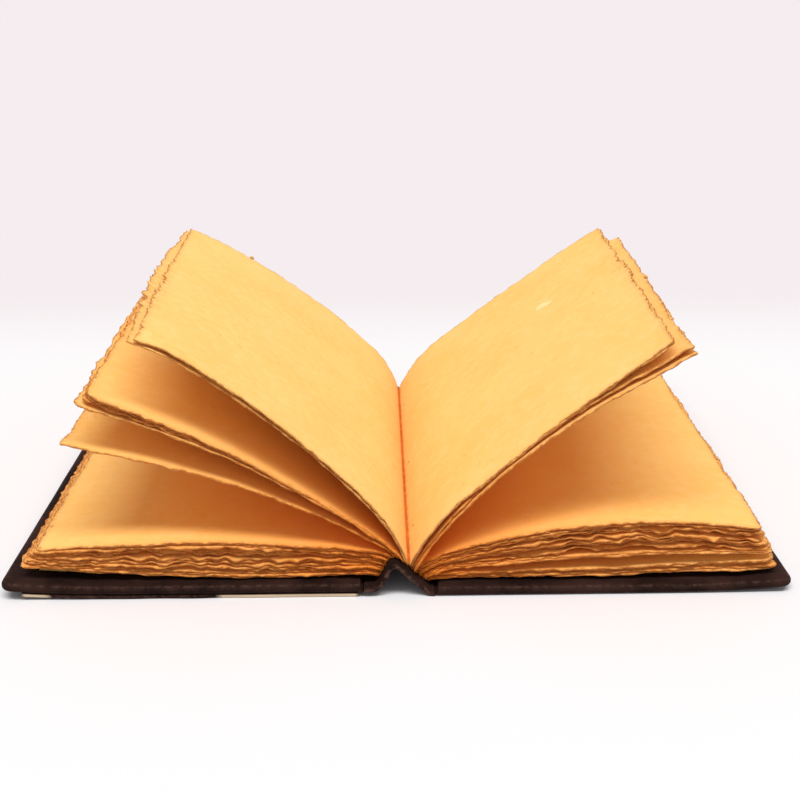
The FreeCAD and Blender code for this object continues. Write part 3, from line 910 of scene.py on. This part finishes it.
def outerPanel():
    first, last = panelForm["setback"], panelForm["setback"] + panelForm["width"]
    half = coverHeight / 2 - panelForm["inset"]
    thick = panelForm["thickness"]
    xs = np.linspace(0, 1, 90)
    ys = np.linspace(0, 1, 40)
    # inset and depth below the cover, from the top round the edge to the underside
    rings = [(6.0, 0.0), (0.5, 0.0), (0.1, -0.15), (0.0, -0.5), (0.03, -1.0), (0.15, -1.4),
             (0.6, -thick), (6.0, -thick)]
    outline = ([(x, 0.0) for x in xs[:-1]] + [(1.0, y) for y in ys[:-1]]
               + [(x, 1.0) for x in xs[:0:-1]] + [(0.0, y) for y in ys[:0:-1]])
    outline = np.array(outline)
    count = len(outline)
    points, arris, raw = [], [], []
    for inset, depth in rings:
        p = first + inset + (last - first - 2 * inset) * outline[:, 0]
        y = -half + inset + (2 * half - 2 * inset) * outline[:, 1]
        wave = 0.12 * swell(61, p, y, 14) * (0.2 < -depth < 1.5)
        y = y - wave * (outline[:, 1] < 0.01)
        place = warped(left, p, y, np.full(count, depth))
        place[:, 2] = np.maximum(place[:, 2], 0.0)
        points.append(place)
        arris.append(np.full(count, 0.5 if 0.1 < -depth < 1.5 else 0.0))
        bare = np.zeros(count)
        for low, high in (panelForm["rawSpan"], panelForm["patchSpan"]):
            ragged = 1.5 * swell(63, p, y, 5)
            bare = np.maximum(bare, smooth(place[:, 0] + ragged, low - 1, low + 1)
                              * smooth(-place[:, 0] - ragged, -high - 1, -high + 1))
        raw.append(bare * (outline[:, 1] < 0.01) * (0.3 < -depth < 1.5))
    faces = []
    for ring in range(len(rings) - 1):
        for i in range(count):
            j = (i + 1) % count
            faces.append([ring * count + j, ring * count + i,
                          (ring + 1) * count + i, (ring + 1) * count + j])
    faces.append(list(range(count)))
    faces.append(list(range((len(rings) - 1) * count, len(rings) * count))[::-1])
    piece = makeMesh("leftOuterPanel", np.vstack(points), faces,
                     {"arris": np.concatenate(arris), "rawEdge": np.concatenate(raw)}, panelHide)
    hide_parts("left_outer_panel")
    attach(piece, "left_cover")


outerPanel()

nodeFinish = {
    "left_board": board, "right_board": board, "left_pastedown": gluedPaper,
    "right_pastedown": gluedPaper, "spine_lining": spineCloth,
}
for nodeName, finish in nodeFinish.items():
    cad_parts[nodeName].material_slots[0].material = finish
print("covers made")


studio = {
    "floor": "E8E6E7",
    "background": "F5EDEF",
    "reach": 3.0,
    "fade": (0.14, 0.32),            # Y over which the floor fades into the background
    "ambient": 0.47,
    "key": {"place": (0.0, -1.95, 5.7), "wide": 6.0, "deep": 1.5, "power": 345.0},
}


def floor():
    # pale paper that fades into the background behind the book, and is clear from below
    mesh = bpy.data.meshes.new("floor")
    reach = studio["reach"]
    mesh.from_pydata([(-reach, -reach, 0), (reach, -reach, 0), (reach, reach, 0), (-reach, reach, 0)],
                     [], [[0, 1, 2, 3]])
    plane = bpy.data.objects.new("floor", mesh)
    bpy.context.scene.collection.objects.link(plane)
    material, tree = emptyMaterial("pale studio paper")
    place = node(tree, "ShaderNodeTexCoord").outputs["Object"]
    y = node(tree, "ShaderNodeSeparateXYZ", links={0: place}).outputs["Y"]
    far = node(tree, "ShaderNodeMapRange", {"From Min": studio["fade"][0],
               "From Max": studio["fade"][1], "interpolation_type": "SMOOTHSTEP"}, {"Value": y})
    below = node(tree, "ShaderNodeNewGeometry").outputs["Backfacing"]
    away = node(tree, "ShaderNodeMath", {"operation": "MAXIMUM"}, {0: far.outputs[0], 1: below})
    matt = node(tree, "ShaderNodeBsdfDiffuse", {"Color": linear(studio["floor"])})
    clear = node(tree, "ShaderNodeBsdfTransparent")
    mixed = node(tree, "ShaderNodeMixShader", links={0: away.outputs[0], 1: matt.outputs[0],
                 2: clear.outputs[0]})
    node(tree, "ShaderNodeOutputMaterial", links={"Surface": mixed.outputs[0]})
    mesh.materials.append(material)


def softLamp(name, place, wide, deep, power):
    # a wide soft box overhead, a little in front of the book
    light = bpy.data.lights.new(name, "AREA")
    light.shape = "RECTANGLE"
    light.size = wide
    light.size_y = deep
    light.energy = power
    lamp = bpy.data.objects.new(name, light)
    lamp.location = place
    lamp.rotation_euler = (-Vector(place)).to_track_quat("-Z", "Y").to_euler()
    bpy.context.scene.collection.objects.link(lamp)


def studioWorld():
    world = bpy.data.worlds.new("studio")
    world.use_nodes = True
    tree = world.node_tree
    tree.nodes.clear()
    path = node(tree, "ShaderNodeLightPath")
    seen = node(tree, "ShaderNodeMath", {"operation": "MAXIMUM"},
                {0: path.outputs["Is Camera Ray"], 1: path.outputs["Is Glossy Ray"]})
    seen = node(tree, "ShaderNodeMath", {"operation": "MAXIMUM"},
                {0: seen.outputs[0], 1: path.outputs["Is Transmission Ray"]})
    room = node(tree, "ShaderNodeBackground", {"Color": (1, 1, 1, 1), "Strength": studio["ambient"]})
    shown = node(tree, "ShaderNodeBackground", {"Color": linear(studio["background"]), "Strength": 1.0})
    mixed = node(tree, "ShaderNodeMixShader", links={0: seen.outputs[0], 1: room.outputs[0],
                 2: shown.outputs[0]})
    node(tree, "ShaderNodeOutputWorld", links={"Surface": mixed.outputs[0]})
    bpy.context.scene.world = world


floor()
studioWorld()
softLamp("key", **studio["key"])

camera = {"place": (-0.0072, -0.4299, 0.2044), "pitch": 21.2, "yaw": 1.2526, "lens": 49.887}
view = bpy.data.cameras.new("camera")
view.lens = camera["lens"]
view.sensor_width = 36
view.clip_start = 0.01
holder = bpy.data.objects.new("camera", view)
holder.location = camera["place"]
holder.rotation_euler = (math.radians(90 - camera["pitch"]), 0, math.radians(-camera["yaw"]))
bpy.context.scene.collection.objects.link(holder)
bpy.context.scene.camera = holder
bpy.context.scene.view_settings.view_transform = "Standard"
print("stage made")

bpy.context.view_layer.update()
